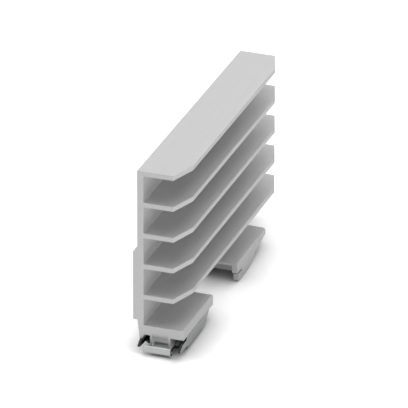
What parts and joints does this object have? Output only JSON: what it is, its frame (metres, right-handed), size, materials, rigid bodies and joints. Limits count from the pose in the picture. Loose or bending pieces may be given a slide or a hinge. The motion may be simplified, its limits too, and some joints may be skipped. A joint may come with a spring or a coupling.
{
  "type": "rail_heat_sink",
  "caption": "Extruded aluminium heat sink with long flat fins on one side, a contact pad on its back and two feet that clip it on a 35 mm top-hat rail, with a sprung steel foot latch",
  "frame": {"origin": "the middle of the rail seat, half way along the width of the rail", "axes": "+X from the back of the plate to the fin tips, +Y along the fins from the latched foot to the hooked foot, +Z away from the rail"},
  "size_m": [0.0212, 0.1256, 0.0775],
  "materials": {
    "aluminium_body": "matt blasted",
    "plated_steel": "bright zinc plated",
    "spring_steel": "drawn wire"
  },
  "bodies": {
    "body": {"heat_sink": "aluminium_body", "latch_spring": "spring_steel"},
    "latch": {"foot_latch": "plated_steel"}
  },
  "joints": [
    {"name": "latch_slide", "type": "slide", "parent": "body", "child": "latch", "axis": [0, -1, 0], "range_m": [0, 0.004], "stiffness_N_per_m": 2000, "springref_m": -0.004, "deforming": ["latch_spring"]}
  ]
}
